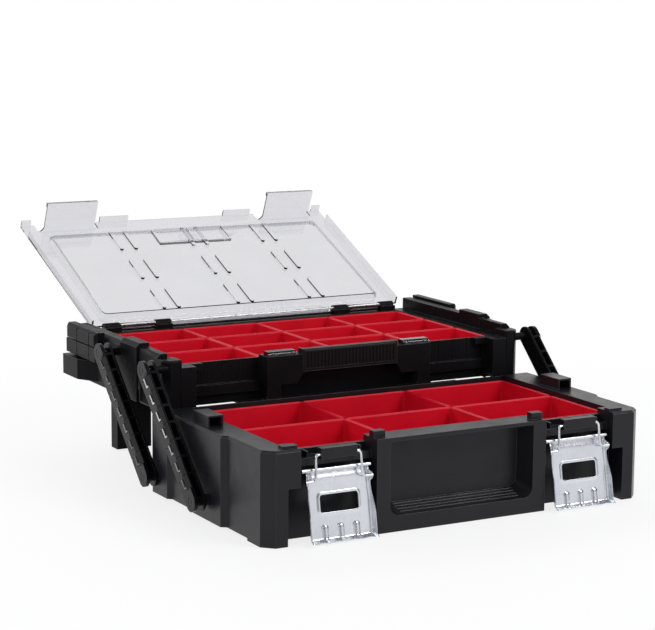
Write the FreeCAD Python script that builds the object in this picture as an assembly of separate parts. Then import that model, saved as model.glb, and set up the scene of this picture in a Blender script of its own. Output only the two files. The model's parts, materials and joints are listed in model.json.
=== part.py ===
"""Cantilever organizer box, open.

A lower box with six lift-out bins carries a parts tray on four swing arms. The tray holds twelve
lift-out bins under a hinged clear lid. Two steel draw latches hang on the lower box's front.
Millimetres, X to the right, Y to the back, Z up. Depths are worked out from the lower box's front
face, and the finished pieces are moved so that the origin is the middle of the box's underside.
"""
import FreeCAD, Part
import math
import os
from FreeCAD import Vector

os.makedirs("parts", exist_ok=True)

# Lift-out bins
lower_columns = 3
lower_rows = 2
lower_bin_pitch_x = 148.75
lower_bin_pitch_y = 111.0
lower_bin_height = 99.3
tray_columns = 4
tray_rows = 3
tray_bin_pitch_x = 110.6
tray_bin_pitch_y = 77.3
tray_bin_height = 49.7
bin_gap = 0.7
bin_wall = 2.0
bin_rim_bevel = 1.4
bin_floor = 1.8
bin_corner = 5.0
bin_clearance = 0.7

# Lower box
box_floor = 3.0
box_wall = 2.6
box_front_zone = 32.0
box_height = 106.0
side_pod = 31.3
middle_step = 6.3
rear_step = 5.0
step_run = 5.0
middle_start = 94.0
rear_start = 227.7
post_depth = 44.0
post_chamfer = 13.0
post_inset = 2.0
skid_height = 3.0
rear_skid_height = 6.0
rear_skid_start = 180.0
rim_height = 2.6
rim_inset = 1.0
rim_chamfer = 1.8
rear_pod_depth = 16.0
rear_pod_height = 100.0
rear_lip_height = 10.0
rear_lip_depth = 3.6
deck = 3.0
rib = 2.5

# Front of the lower box
panel_half = 114.5
panel_height = 109.4
bay_inner_half = 227.0
bay_upper_half = 211.3
bay_step_height = 65.0
bay_depth = 28.0
pocket_half = 97.0
pocket_back_half = 90.0
pocket_bottom = 18.7
pocket_back_bottom = 28.0
pocket_top = 105.0
pocket_depth = 25.0
pocket_corner = 12.0
pocket_rib_shares = (0.25, 0.45, 0.65, 0.85)
pocket_rib_rise = 0.9
pocket_rib_end = 16.0
panel_lug_inner = 99.5
panel_lug_outer = 114.5
panel_lug_top = 117.0
post_lug_outer = 230.0
post_lug_top = 111.5
lug_front = 8.5
lug_depth = 10.0

# Locating sockets on the side rims
socket_inner = 234.5
socket_width = 19.5
socket_front = 146.0
socket_depth = 40.0
socket_top = 121.5
socket_wall = 2.2

# Swing arms
arm_length = 186.4
open_angle = 46.3
closed_angle = 43.3
arm_pivot_height = 26.5
front_pivot_y = 135.5
arm_spacing = 133.0
arm_gap = 0.6
arm_thickness = 14.75
arm_radius = 12.0
arm_web = 4.4
arm_rail = 2.8
arm_flange = 2.4
arm_rungs = 7
arm_rung_start = 10.8
arm_rung_pitch = 24.1
arm_rung_width = 3.0
arm_bevel_start = 4.5
arm_bevel_depth = 2.0
arm_groove = 0.9
arm_groove_depth = 1.6
arm_groove_radius = 11.5
arm_groove_centre = 6.5
arm_slot_length = 6.5
arm_slot_slant = 15.0
arm_strip_length = 11.0
arm_strip_width = 3.2
arm_strip_rise = 0.8
arm_strip_place = 0.9
arm_boss_wall = 2.4
pin_radius = 3.5
pin_fit = 0.06
pin_head_radius = 5.2
pin_head = 1.4
pin_head_fit = 0.3
pin_head_gap = 0.1
pin_sink = 0.2
pin_grip = 10.0
pin_boss_wall = 1.6

# Upper tray
tray_front = 262.6
tray_floor = 2.5
tray_underside = 103.0
tray_wall = 2.7
tray_front_recess = 24.0
tray_deck_height = 156.0
tray_side_half = 254.0
tray_middle_step = 4.0
tray_ridge_inner = 240.5
tray_ridge_rise = 14.5
tray_ridge_chamfer = 5.0
tray_back = 274.4
tray_middle_start = 77.0
tray_middle_end = 126.0
tray_middle_rise = 19.5
tray_skirt_start = 12.0
corner_inner = 213.3
corner_outer = 240.5
corner_chamfer = 8.0
corner_post_inner = 232.4
corner_post_rise = 9.5
ridge_groove_place = 3.2
ridge_groove = 1.4
ridge_groove_depth = 2.0
corner_bottom = 102.0
finger_inner = 197.0
finger_width = 17.0
finger_height = 8.0
finger_front = 17.0
ledge_bottom = 116.0
ledge_top = 128.0
ledge_depth = 5.6
ledge_inner = 120.0
wall_groove_places = (144.0, 166.0, 187.5)
wall_groove_width = 1.6
wall_groove_depth = 1.2
keel_half = 140.0
keel_front = 34.5
keel_drop = 5.5
keel_wall = 3.0
rear_block_overhang = 12.5
rear_block_front = 177.5
rear_block_bottom = 136.0
rear_block_rows = 2
rear_block_height = 18.0
rear_block_gap = 1.6
rear_block_chamfer = 4.0
rear_block_groove = 2.4
rear_block_groove_depth = 3.0
rear_block_grooves = (197.5, 237.5)
rear_skirt_overhang = 17.0
rear_skirt_front = 196.0
rear_skirt_slant = 18.0
rear_skirt_run = 30.0
rear_skirt_step = 6.0
rear_skirt_bottom = 107.0
rear_skirt_top = 133.0
leg_inner = 157.0
leg_outer = 206.0
leg_thickness = 19.5
leg_front = 259.4
leg_wall = 3.0

# Handle on the tray's front
bracket_outer = 116.5
bracket_inner = 68.0
bracket_rise = 3.5
bracket_waist = 136.5
bracket_toe = 75.5
bracket_bottom = 124.0
bracket_leg_inner = 98.4
bracket_leg_bottom = 108.0
bracket_wall = 3.0
bracket_leg_depth = 5.0
grip_half = 65.0
grip_height = 28.6
grip_rise = 9.3
grip_depth = 13.0
grip_corner = 3.0
grip_flutes = 26
grip_flute_depth = 1.7
grip_flute_share = 0.36
grip_flute_rim = 4.2
grip_end = 1.0
cap_inner = 77.0
cap_width = 38.5
cap_depth = 13.0
cap_height = 5.6
cap_end = 6.0

# Lid
hinge_y = 270.4
hinge_rise = 7.0
lid_rise = 5.4
lid_open_slope = 23.8
lid_length = 273.1
lid_front_half = 238.0
lid_back_half = 232.7
lid_thickness = 2.4
lid_skirt = 11.4
lid_back_edge = 9.0
lid_panel_half = 208.0
lid_panel_front = 232.0
lid_panel_back = 28.0
lid_panel_drop = 7.5
lid_panel_slope = 2.5
lid_panel_corner = 6.0
lid_pocket_half = 56.0
lid_pocket_back = 197.0
lid_pocket_drop = 3.0
lid_pocket_rib = 1.6
block_inner = 76.0
block_outer = 120.0
tab_inner = 134.5
tab_outer = 210.0
tab_recess = 15.9
tab_drop = 46.0
tab_lip = 2.8
tab_lip_height = 5.5
tab_flare = 8.0
tab_slit = 2.0
corner_skirt_inner = 224.0
lid_rib_length = 49.0
lid_rib_gap = 0.4
lid_rib_spread = 21.6
lid_rib_width = 5.2
lid_roll_radius = 2.4
knuckle_outer = 219.7
knuckle_inner = 124.0
knuckle_width = 22.0
knuckle_radius = 5.4
barrel_radius = 4.4
hinge_pin_radius = 2.0
hinge_fit = 0.08
hinge_side_gap = 0.5

# Draw latches
latch_place = 163.0
rail_half = 22.8
rail_bottom = 94.5
rail_top = 106.5
rail_depth = 9.0
rail_foot = 2.0
bay_wall_top = 102.0
bail_y = 3.0
bail_z = 99.0
bail_drop = 29.0
bail_lean = 3.5
bail_wire = 1.6
bail_fit = 0.08
bail_half = 25.6
bail_hook = 6.0
bail_foot_half = 33.6
bail_end = 43.5
ledge_y = 12.5
latch_ledge_bottom = 86.0
slot_post_half = 33.5
slot_post_width = 1.6
plate_sheet = 1.0
plate_tilt = 12.0
plate_offset = 7.5
plate_half = 36.0
plate_top_rise = 11.5
plate_roll_half = 44.5
plate_roll_radius = 3.25
plate_length = 66.0
plate_flange = 8.5
plate_flange_flare = 4.0
plate_lip = 6.0
plate_window_half = 24.2
plate_window_top = 15.8
plate_window_height = 20.0
plate_window_corner = 2.5
plate_ribs = 3
plate_rib_spacing = 20.0
plate_rib_width = 5.6
plate_rib_height = 2.0
plate_rib_length = 12.5
plate_bend = 3.0
plate_ear = 2.6
plate_waist = 3.5
plate_waist_run = 22.0
plate_frame = 2.6
plate_frame_rise = 0.8

# Worked out from the sizes above
cavity_half = lower_columns * lower_bin_pitch_x / 2 + bin_clearance
cavity_front = box_front_zone
cavity_back = cavity_front + lower_rows * lower_bin_pitch_y + 2 * bin_clearance
box_front_half = cavity_half + side_pod
box_middle_half = box_front_half + middle_step
box_rear_half = box_middle_half + rear_step
box_back = cavity_back + box_wall
box_depth = box_back + rear_pod_depth
arm_inner = box_rear_half + arm_gap
arm_outer = arm_inner + arm_thickness
rear_pivot_y = front_pivot_y + arm_spacing
open_rad = math.radians(open_angle)
closed_rad = math.radians(closed_angle)
open_shift = Vector(0, arm_length * math.sin(open_rad), arm_length * math.cos(open_rad))
tray_pivot_z = arm_pivot_height + open_shift.z
tray_cavity_half = tray_columns * tray_bin_pitch_x / 2 + bin_clearance
tray_cavity_front = tray_front + tray_front_recess + tray_wall
tray_cavity_back = tray_cavity_front + tray_rows * tray_bin_pitch_y + 2 * bin_clearance
tray_stroke = arm_length * (math.sin(open_rad) + math.sin(closed_rad))
tray_rear = tray_front + tray_back
hinge_line_y = tray_front + hinge_y
origin_shift = Vector(0, -box_depth / 2, 0)
tray_ridge_height = tray_deck_height + tray_ridge_rise
tray_middle_height = tray_deck_height + tray_middle_rise
tray_middle_half = tray_side_half + tray_middle_step
rear_block_half = tray_middle_half + rear_block_overhang
rear_skirt_half = tray_middle_half + rear_skirt_overhang
bracket_top = tray_deck_height + bracket_rise
hinge_z = tray_deck_height + hinge_rise
grip_bottom = tray_deck_height + grip_rise - grip_height


def box(x0, x1, y0, y1, z0, z1):
    return Part.makeBox(x1 - x0, y1 - y0, z1 - z0, Vector(x0, y0, z0))


def both_sides(shape):
    """The shape and its mirror image across the middle plane."""
    return [shape, shape.mirror(Vector(0, 0, 0), Vector(1, 0, 0))]


def pair(x0, x1, y0, y1, z0, z1):
    return both_sides(box(x0, x1, y0, y1, z0, z1))


def prism_z(points, z0, z1):
    wire = Part.makePolygon([Vector(x, y, z0) for x, y in points + points[:1]])
    return Part.Face(wire).extrude(Vector(0, 0, z1 - z0))


def prism_x(points, x0, x1):
    wire = Part.makePolygon([Vector(x0, y, z) for y, z in points + points[:1]])
    return Part.Face(wire).extrude(Vector(x1 - x0, 0, 0))


def prism_y(points, y0, y1):
    wire = Part.makePolygon([Vector(x, y0, z) for x, z in points + points[:1]])
    return Part.Face(wire).extrude(Vector(0, y1 - y0, 0))


def rod_x(y, z, radius, x0, x1):
    return Part.makeCylinder(radius, x1 - x0, Vector(x0, y, z), Vector(1, 0, 0))


def edges_along(shape, direction, test):
    """Straight edges in one direction whose middle passes the test."""
    found = []
    for edge in shape.Edges:
        start = edge.Vertexes[0].Point
        end = edge.Vertexes[-1].Point
        run = end - start
        if run.Length > 0.5 and abs(run.normalize().dot(direction)) > 0.999:
            middle = (start + end) * 0.5
            if test(middle):
                found.append(edge)
    return found


UP = Vector(0, 0, 1)
ACROSS = Vector(1, 0, 0)
DEEP = Vector(0, 1, 0)


def save(name, shape):
    """Writes one piece, moved into the part's own frame."""
    shape = shape.removeSplitter()
    shape.translate(origin_shift)
    shape.exportStep("parts/" + name + ".step")
    print(name, "solids", len(shape.Solids), "valid", shape.isValid(), "volume", round(shape.Volume))


# Bins: thin trays with rounded corners and a floor
def make_bin(x_middle, y_middle, z_floor, pitch_x, pitch_y, height):
    half_x = (pitch_x - bin_gap) / 2
    half_y = (pitch_y - bin_gap) / 2
    outer = box(x_middle - half_x, x_middle + half_x, y_middle - half_y, y_middle + half_y,
                z_floor, z_floor + height)
    outer = outer.makeFillet(bin_corner, edges_along(outer, UP, lambda p: True))
    inner = box(x_middle - half_x + bin_wall, x_middle + half_x - bin_wall,
                y_middle - half_y + bin_wall, y_middle + half_y - bin_wall,
                z_floor + bin_floor, z_floor + height + 1)
    inner = inner.makeFillet(bin_corner - bin_wall, edges_along(inner, UP, lambda p: True))
    shell = outer.cut(inner)

    # The rim is bevelled inwards all round
    top = z_floor + height
    rim = [edge for edge in shell.Edges
           if all(abs(v.Z - top) < 0.01 for v in edge.Vertexes)
           and abs(edge.CenterOfMass.x - x_middle) < half_x - bin_wall + 0.1
           and abs(edge.CenterOfMass.y - y_middle) < half_y - bin_wall + 0.1]
    return shell.makeChamfer(bin_rim_bevel, rim)


def make_bins(prefix, columns, rows, pitch_x, pitch_y, y_front, z_floor, height):
    for row in range(rows):
        for column in range(columns):
            x = (column - (columns - 1) / 2) * pitch_x
            y = y_front + bin_clearance + (row + 0.5) * pitch_y
            name = prefix + "_row%d_%d" % (row + 1, column + 1)
            save(name, make_bin(x, y, z_floor, pitch_x, pitch_y, height))


# Lower box
def box_outline(inset):
    """Half of the box's outline in plan, from the middle of the front to the middle of the back."""
    front = box_front_half - inset
    middle = box_middle_half - inset
    rear = box_rear_half - inset
    return [(0, inset), (front - post_chamfer, inset), (front, inset + post_chamfer),
            (front, middle_start), (middle, middle_start + step_run), (middle, rear_start),
            (rear, rear_start + step_run), (rear, box_depth - inset), (0, box_depth - inset)]


def side_hollows():
    """Spaces between the cavity and the outer skin, open below, with ribs left between them."""
    x0 = cavity_half + box_wall
    spans = [(post_depth, middle_start - rib, box_front_half),
             (middle_start + step_run, front_pivot_y - pin_head_radius - rib, box_middle_half),
             (front_pivot_y + pin_head_radius + rib, rear_start - rib, box_middle_half)]
    return [cell for y0, y1, outer in spans
            for cell in pair(x0, outer - box_wall, y0, y1, -1, box_height - deck)]


def pocket_cutter():
    """The shallow well in the front panel, narrower and higher at its back."""
    def wire(y, half, bottom):
        corner = pocket_corner
        bend = corner * (1 - math.sqrt(0.5))
        edges = [Part.LineSegment(Vector(-half, y, pocket_top), Vector(-half, y, bottom + corner)),
                 Part.Arc(Vector(-half, y, bottom + corner), Vector(-half + bend, y, bottom + bend),
                          Vector(-half + corner, y, bottom)),
                 Part.LineSegment(Vector(-half + corner, y, bottom), Vector(half - corner, y, bottom)),
                 Part.Arc(Vector(half - corner, y, bottom), Vector(half - bend, y, bottom + bend),
                          Vector(half, y, bottom + corner)),
                 Part.LineSegment(Vector(half, y, bottom + corner), Vector(half, y, pocket_top)),
                 Part.LineSegment(Vector(half, y, pocket_top), Vector(-half, y, pocket_top))]
        return Part.Wire([edge.toShape() for edge in edges])
    return Part.makeLoft([wire(0, pocket_half, pocket_bottom),
                          wire(pocket_depth, pocket_back_half, pocket_back_bottom)], True, True)


def make_lower_box():
    half = box_outline(0)
    outline = half + [(-x, y) for x, y in reversed(half) if x > 0]
    body = prism_z(outline, 0, box_height)

    # Raised rim on both sides, set in a little so that a shadow line runs under it
    rim_half = box_outline(rim_inset)
    rim = prism_z(rim_half + [(-x, y) for x, y in reversed(rim_half) if x > 0],
                  box_height, box_height + rim_height)
    top = box_height + rim_height
    rim = rim.makeChamfer(rim_chamfer, [e for e in rim.Edges
                                        if all(abs(v.Z - top) < 0.01 for v in e.Vertexes)])
    body = body.fuse(rim)

    # Cavity for the bins, and the low ground behind it that the tray's legs stand in
    body = body.cut(box(-cavity_half, cavity_half, cavity_front, cavity_back, box_floor, top + 1))
    cuts = [box(-bay_upper_half, bay_upper_half, box_back, box_depth + 1, -1, top + 1)]
    cuts += [box(-box_rear_half - 1, box_rear_half + 1, box_back, box_depth + 1, rear_pod_height, top + 1)]
    cuts += [box(-cavity_half, cavity_half, cavity_back - 1, box_back + 1,
                 rear_pod_height + rear_lip_height - 2, top + 1)]
    cuts += pair(cavity_half + box_wall, box_rear_half + 1, post_depth, rear_skid_start, -1, skid_height)
    cuts += pair(cavity_half + box_wall, box_rear_half + 1, rear_skid_start, box_depth + 1,
                 -1, rear_skid_height)
    cuts += side_hollows()

    # Latch bays, open below and in front
    cuts += pair(panel_half, bay_inner_half, -1, bay_depth, -1, bay_step_height)
    cuts += pair(panel_half, bay_upper_half, -1, bay_depth, bay_step_height - 1, top + 1)
    cuts += pair(panel_half, bay_upper_half, bay_depth - 1, cavity_front, bay_wall_top, top + 1)
    cuts += pair(bay_inner_half + box_wall, box_front_half - box_wall - post_chamfer / 2,
                 box_wall + post_chamfer / 2, post_depth - box_wall, -1, box_height - deck)
    body = body.cut(cuts)

    # Front panel with its well, and hollows behind its two columns
    body = body.fuse(box(-panel_half, panel_half, 0, cavity_front, 0, panel_height))
    body = body.cut([pocket_cutter()] + pair(pocket_half + box_wall, panel_half - box_wall,
                                             box_wall, cavity_front - box_wall, -1,
                                             panel_height - deck))

    # Fine ribs along the well's sloping floor
    for share in pocket_rib_shares:
        y = share * pocket_depth
        z = pocket_bottom + share * (pocket_back_bottom - pocket_bottom)
        reach = pocket_half - pocket_rib_end
        body = body.fuse(prism_x([(y - pocket_rib_rise, z - 1), (y, z + pocket_rib_rise),
                                  (y + pocket_rib_rise, z - 1)], -reach, reach))

    # Lugs on the front rim
    lugs = pair(panel_lug_inner, panel_lug_outer, lug_front, lug_front + lug_depth,
                panel_height - deck, panel_lug_top)
    lugs += pair(bay_upper_half, post_lug_outer, lug_front, lug_front + lug_depth,
                 box_height - deck, post_lug_top)

    # Rails that carry the latch bails, the ledges under them and the slot posts beside them
    for side in (-1, 1):
        x = side * latch_place
        inner = side * panel_half
        outer = side * bay_upper_half
        low, high = sorted((inner, outer))
        lugs.append(prism_x([(0, rail_bottom), (0, rail_top), (rail_depth, rail_top),
                             (rail_depth, rail_bottom + 2 * rail_foot), (ledge_y + rail_foot, rail_bottom + rail_foot),
                             (ledge_y + rail_foot, rail_bottom - rail_foot), (ledge_y, rail_bottom - rail_foot)],
                            x - rail_half, x + rail_half))
        lugs.append(box(low, high, ledge_y, cavity_front, latch_ledge_bottom, rail_bottom))
        for place in (-slot_post_half, slot_post_half):
            lugs.append(box(x + place - slot_post_width / 2, x + place + slot_post_width / 2,
                            ledge_y, cavity_front, rail_bottom, bay_wall_top))
    body = body.fuse(lugs)
    bores = [rod_x(bail_y, bail_z, bail_wire + bail_fit, side * latch_place - rail_half - 1,
                   side * latch_place - rail_half + bail_hook) for side in (-1, 1)]
    bores += [rod_x(bail_y, bail_z, bail_wire + bail_fit, side * latch_place + rail_half - bail_hook,
                    side * latch_place + rail_half + 1) for side in (-1, 1)]

    # Rear lip between the tray's legs
    lip = box(-leg_inner + leg_wall, leg_inner - leg_wall, box_back - 0.5, box_back + rear_lip_depth,
              rear_pod_height - 2, rear_pod_height + rear_lip_height - 2)
    body = body.fuse(lip)

    # Locating sockets on the side rims, open in front
    for shell in pair(socket_inner, socket_inner + socket_width, socket_front,
                      socket_front + socket_depth, box_height, socket_top):
        body = body.fuse(shell)
    bores += pair(socket_inner + socket_wall, socket_inner + socket_width - socket_wall,
                  socket_front - 1, socket_front + socket_depth - socket_wall,
                  top, socket_top - socket_wall)

    # Seats of the lower pivot pins
    for y in (front_pivot_y, rear_pivot_y):
        bores += both_sides(rod_x(y, arm_pivot_height, pin_radius, box_rear_half - pin_grip - middle_step,
                                  box_rear_half + 1))
    for y in (front_pivot_y,):
        body = body.fuse(both_sides(rod_x(y, arm_pivot_height, pin_radius + 2 * pin_boss_wall,
                                          box_middle_half - box_wall, box_rear_half)))
    return body.cut(bores)


# Swing arms, modelled along their own length and then laid at the open angle
def make_arm(side, pivot_y):
    """An arm is a channel: an outer wall, an inner rail and rungs between them, open to the front."""
    def strap(x0, x1, radius):
        start = rod_x(0, 0, radius, x0, x1)
        end = rod_x(0, arm_length, radius, x0, x1)
        return start.fuse([end, box(x0, x1, -radius, radius, 0, arm_length)])

    body = strap(arm_inner, arm_outer, arm_radius)

    # Channel between the wall and the rail, closed behind, with round bosses at both pivots
    channel = strap(arm_inner + arm_rail, arm_outer - arm_web, arm_radius + 1)
    channel = channel.cut(box(arm_inner, arm_outer, arm_radius - arm_flange, arm_radius + 2,
                              arm_radius, arm_length - arm_radius))
    stays = [rod_x(0, z, pin_radius + arm_boss_wall, arm_inner, arm_outer) for z in (0, arm_length)]
    rungs = [arm_length - arm_rung_start - n * arm_rung_pitch for n in range(arm_rungs)]
    for z in rungs:
        stays.append(box(arm_inner, arm_outer, -arm_radius, arm_radius,
                         z - arm_rung_width / 2, z + arm_rung_width / 2))
    body = body.cut(channel.cut(stays))

    # Bevel along the wall's front edge
    bevel = prism_z([(arm_outer + 1, -arm_bevel_start + 1 / arm_bevel_depth),
                     (arm_outer + 1, -arm_radius - 1), (arm_outer - arm_bevel_depth, -arm_radius - 1),
                     (arm_outer - arm_bevel_depth, -arm_radius), (arm_outer, -arm_bevel_start)],
                    arm_radius, arm_length - arm_radius)
    cuts = [bevel]

    # Each rung has an arched groove over the bevel, a short slot behind and a raised strip below
    strips = []
    middle_x = arm_outer - arm_groove_depth
    for z in rungs:
        drop = z - arm_groove_radius * math.cos(math.radians(25))
        ring = rod_x(-arm_groove_centre, drop, arm_groove_radius + arm_groove / 2, middle_x - 1, arm_outer + 1)
        ring = ring.cut(rod_x(-arm_groove_centre, drop, arm_groove_radius - arm_groove / 2,
                              middle_x - 2, arm_outer + 2))
        cuts.append(ring.common(box(middle_x - 1, arm_outer + 1, -arm_radius - 1, -arm_strip_place,
                                    z - arm_groove_radius / 2, z + arm_groove_radius)))
        slot = box(middle_x, arm_outer + 1, 0, arm_slot_length, -arm_groove / 2, arm_groove / 2)
        slot.rotate(Vector(0, 0, 0), ACROSS, arm_slot_slant)
        slot.translate(Vector(0, arm_radius - arm_slot_length + 0.5, z))
        cuts.append(slot)
        strips.append(box(arm_outer - 1, arm_outer + arm_strip_rise,
                          -arm_strip_place - arm_strip_width / 2, -arm_strip_place + arm_strip_width / 2,
                          z - arm_groove - arm_strip_length, z - arm_groove))
    for z in (0, arm_length):
        cuts.append(rod_x(0, z, pin_radius + pin_fit, arm_inner - 1, arm_outer + 1))
        cuts.append(rod_x(0, z, pin_head_radius + pin_head_fit, arm_outer - pin_head - pin_head_gap,
                          arm_outer + 1))
    body = body.fuse([strip for strip in strips if strip.BoundBox.ZMin > arm_radius]).cut(cuts)
    body.rotate(Vector(0, 0, 0), ACROSS, -open_angle)
    body.translate(Vector(0, pivot_y, arm_pivot_height))
    if side < 0:
        body = body.mirror(Vector(0, 0, 0), ACROSS)
    return body


def make_pins(pivots, z, x_inner):
    """Headed pins, one at each end of a pair of arms."""
    pins = []
    for y in pivots:
        shaft = rod_x(y, z, pin_radius, x_inner, arm_outer)
        head = rod_x(y, z, pin_head_radius, arm_outer - pin_head, arm_outer - pin_sink)
        pins += both_sides(shaft.fuse(head).removeSplitter())
    return Part.makeCompound(pins)


# Upper tray
def tray_side(outer, y0, y1, z0, z1):
    """One stretch of the tray's side ridge, with a chamfer along its outer top edge."""
    points = [(tray_cavity_half, z0), (outer, z0), (outer, z1 - tray_ridge_chamfer),
              (outer - tray_ridge_chamfer, z1), (tray_ridge_inner, z1),
              (tray_ridge_inner, tray_deck_height), (tray_cavity_half, tray_deck_height)]
    return both_sides(prism_y(points, y0, y1))


def make_tray():
    t = tray_front
    deck_z = tray_deck_height
    front = tray_cavity_front - tray_wall
    body = box(-tray_side_half, tray_side_half, front, tray_rear, tray_underside, deck_z)

    # Side ridges outside the lid, in three stretches of their own width and height
    parts = tray_side(tray_side_half, front, t + tray_middle_start, tray_underside, tray_ridge_height)
    parts += tray_side(tray_middle_half, t + tray_middle_start, t + tray_middle_end,
                       tray_underside, tray_middle_height)
    parts += tray_side(tray_middle_half, t + tray_middle_end, tray_rear, tray_underside,
                       tray_ridge_height)

    # Corner blocks, whose outer part rises to just under the closed lid
    points = [(corner_inner, t), (corner_outer - corner_chamfer, t), (corner_outer, t + corner_chamfer),
              (corner_outer, front + 1), (corner_inner, front + 1)]
    corner = prism_z(points, corner_bottom, deck_z + corner_post_rise)
    corner = corner.cut(box(corner_inner - 1, corner_post_inner, t - 1, front + 2,
                            deck_z, deck_z + corner_post_rise + 1))
    parts += both_sides(corner)
    finger = box(finger_inner, finger_inner + finger_width, t + finger_front, front + 1,
                 deck_z - finger_height, deck_z)
    parts += both_sides(finger)

    # Ledge on the recessed front wall
    parts += pair(ledge_inner, corner_inner + 1, front - ledge_depth, front + 1, ledge_bottom, ledge_top)

    # Wide rear quarters: a smooth skirt and two rows of blocks above it
    skirt_front = t + rear_skirt_front
    skirt = [(tray_middle_half - 1, skirt_front), (tray_middle_half, skirt_front),
             (rear_skirt_half - rear_skirt_step, skirt_front + rear_skirt_slant),
             (rear_skirt_half, skirt_front + rear_skirt_run),
             (rear_skirt_half, tray_rear), (tray_middle_half - 1, tray_rear)]
    parts += both_sides(prism_z(skirt, rear_skirt_bottom, rear_skirt_top))
    for row in range(rear_block_rows):
        z = rear_block_bottom + row * (rear_block_height + rear_block_gap)
        upper = box(tray_middle_half - 1, rear_block_half, t + rear_block_front, tray_rear,
                    z, z + rear_block_height)
        bevel = rear_block_chamfer if row == rear_block_rows - 1 else rear_block_chamfer / 3
        outside = edges_along(upper, DEEP, lambda p: p.x > rear_block_half - 1 and p.z > z + 1)
        corners = edges_along(upper, UP, lambda p: p.x > rear_block_half - 1)
        parts += both_sides(upper.makeChamfer(bevel, outside + corners))

    # Rear legs
    leg_y = leg_front + tray_stroke
    legs = pair(leg_inner, leg_outer, leg_y, leg_y + leg_thickness, 0, tray_underside + 20)
    parts += legs
    body = body.fuse(parts)

    # Handle brackets
    points = [(bracket_outer, bracket_leg_bottom), (bracket_outer, bracket_top),
              (bracket_inner, bracket_top), (bracket_inner, bracket_waist),
              (bracket_toe, bracket_bottom), (bracket_leg_inner, bracket_bottom),
              (bracket_leg_inner, bracket_leg_bottom)]
    bracket = prism_y(points, t, front + 1)
    bracket = bracket.cut(box(bracket_leg_inner - 1, bracket_outer + 1, t + bracket_leg_depth,
                              front + 2, bracket_leg_bottom - 1, bracket_bottom))
    bracket = bracket.cut(box(bracket_toe + bracket_wall, bracket_outer - bracket_wall,
                              t + bracket_wall, front + 2, bracket_leg_bottom - 1,
                              bracket_top - bracket_wall))
    body = body.fuse(both_sides(bracket))

    # Bin cavity, groove cuts and hollows
    cuts = [box(-tray_cavity_half, tray_cavity_half, tray_cavity_front, tray_cavity_back,
                tray_underside + tray_floor, tray_ridge_height + 10)]
    for x in wall_groove_places:
        cuts += pair(x - wall_groove_width / 2, x + wall_groove_width / 2, front - 1,
                     front + wall_groove_depth, ledge_top, deck_z + 1)
    for y in rear_block_grooves:
        cuts += pair(rear_block_half - rear_block_groove_depth, rear_block_half + 1,
                     t + y - rear_block_groove / 2, t + y + rear_block_groove / 2,
                     rear_block_bottom - 1, tray_ridge_height + 5)

    cuts += pair(tray_ridge_inner + ridge_groove_place, tray_ridge_inner + ridge_groove_place + ridge_groove,
                 t + tray_middle_end + ridge_groove, tray_rear - ridge_groove,
                 tray_ridge_height - ridge_groove_depth, tray_ridge_height + 1)

    # Side hollows, open below, that drop over the lower box's sockets
    x0 = tray_cavity_half + tray_wall
    cuts += pair(x0, tray_side_half - tray_wall, t + tray_front_recess + tray_wall,
                 t + tray_middle_start - rib, tray_underside - 1, deck_z - deck)
    cuts += pair(x0, tray_middle_half - tray_wall, t + tray_middle_start, t + rear_block_front + 12,
                 tray_underside - 1, deck_z - deck)
    cuts += pair(x0, tray_middle_half - tray_wall, t + rear_block_front + 12 + rib,
                 tray_rear - 2 * tray_wall, tray_underside - 1, deck_z - deck)
    cuts += pair(corner_inner + tray_wall, corner_outer - tray_wall, t + tray_wall + corner_chamfer / 2,
                 front, corner_bottom - 1, deck_z - deck)
    cuts += pair(corner_inner - 1, post_lug_outer + 1, t + lug_front - 2, t + lug_front + lug_depth + 2,
                 corner_bottom - 1, corner_bottom + 6)
    cuts += pair(leg_inner + leg_wall, leg_outer - leg_wall, leg_y + leg_wall, leg_y + leg_thickness + 1,
                 leg_wall, tray_underside - 4)
    body = body.cut(cuts)

    # Keel under the floor
    keel = box(-keel_half, keel_half, t + keel_front, tray_cavity_back - 10,
               tray_underside - keel_drop, tray_underside + 0.5)
    keel = keel.cut(box(-keel_half + keel_wall, keel_half - keel_wall, t + keel_front + keel_wall,
                        tray_cavity_back - 10 - keel_wall, tray_underside - keel_drop - 1,
                        tray_underside))
    body = body.fuse(keel)

    # Hinge lugs for the lid
    knuckles = []
    for x in (knuckle_inner, knuckle_outer - knuckle_width):
        lug = rod_x(hinge_line_y, hinge_z, knuckle_radius, x, x + knuckle_width)
        web = box(x, x + knuckle_width, tray_cavity_back + 0.3, tray_rear, deck_z - 1, hinge_z)
        knuckles += both_sides(lug.fuse(web))
    body = body.fuse(knuckles)
    bores = []
    for x in (knuckle_inner, knuckle_outer - knuckle_width):
        bores += both_sides(rod_x(hinge_line_y, hinge_z, hinge_pin_radius, x - 1, x + knuckle_width + 1))
    for y in (front_pivot_y, rear_pivot_y):
        bores += both_sides(rod_x(y + open_shift.y, tray_pivot_z, pin_radius,
                                  tray_side_half - pin_grip, box_rear_half + 1))
    bosses = []
    for y, inner in ((front_pivot_y, corner_outer - tray_wall), (rear_pivot_y, tray_side_half - pin_grip + 1)):
        bosses += both_sides(rod_x(y + open_shift.y, tray_pivot_z, pin_radius + pin_boss_wall,
                                   inner, box_rear_half))
    return body.fuse(bosses).cut(bores)


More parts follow.
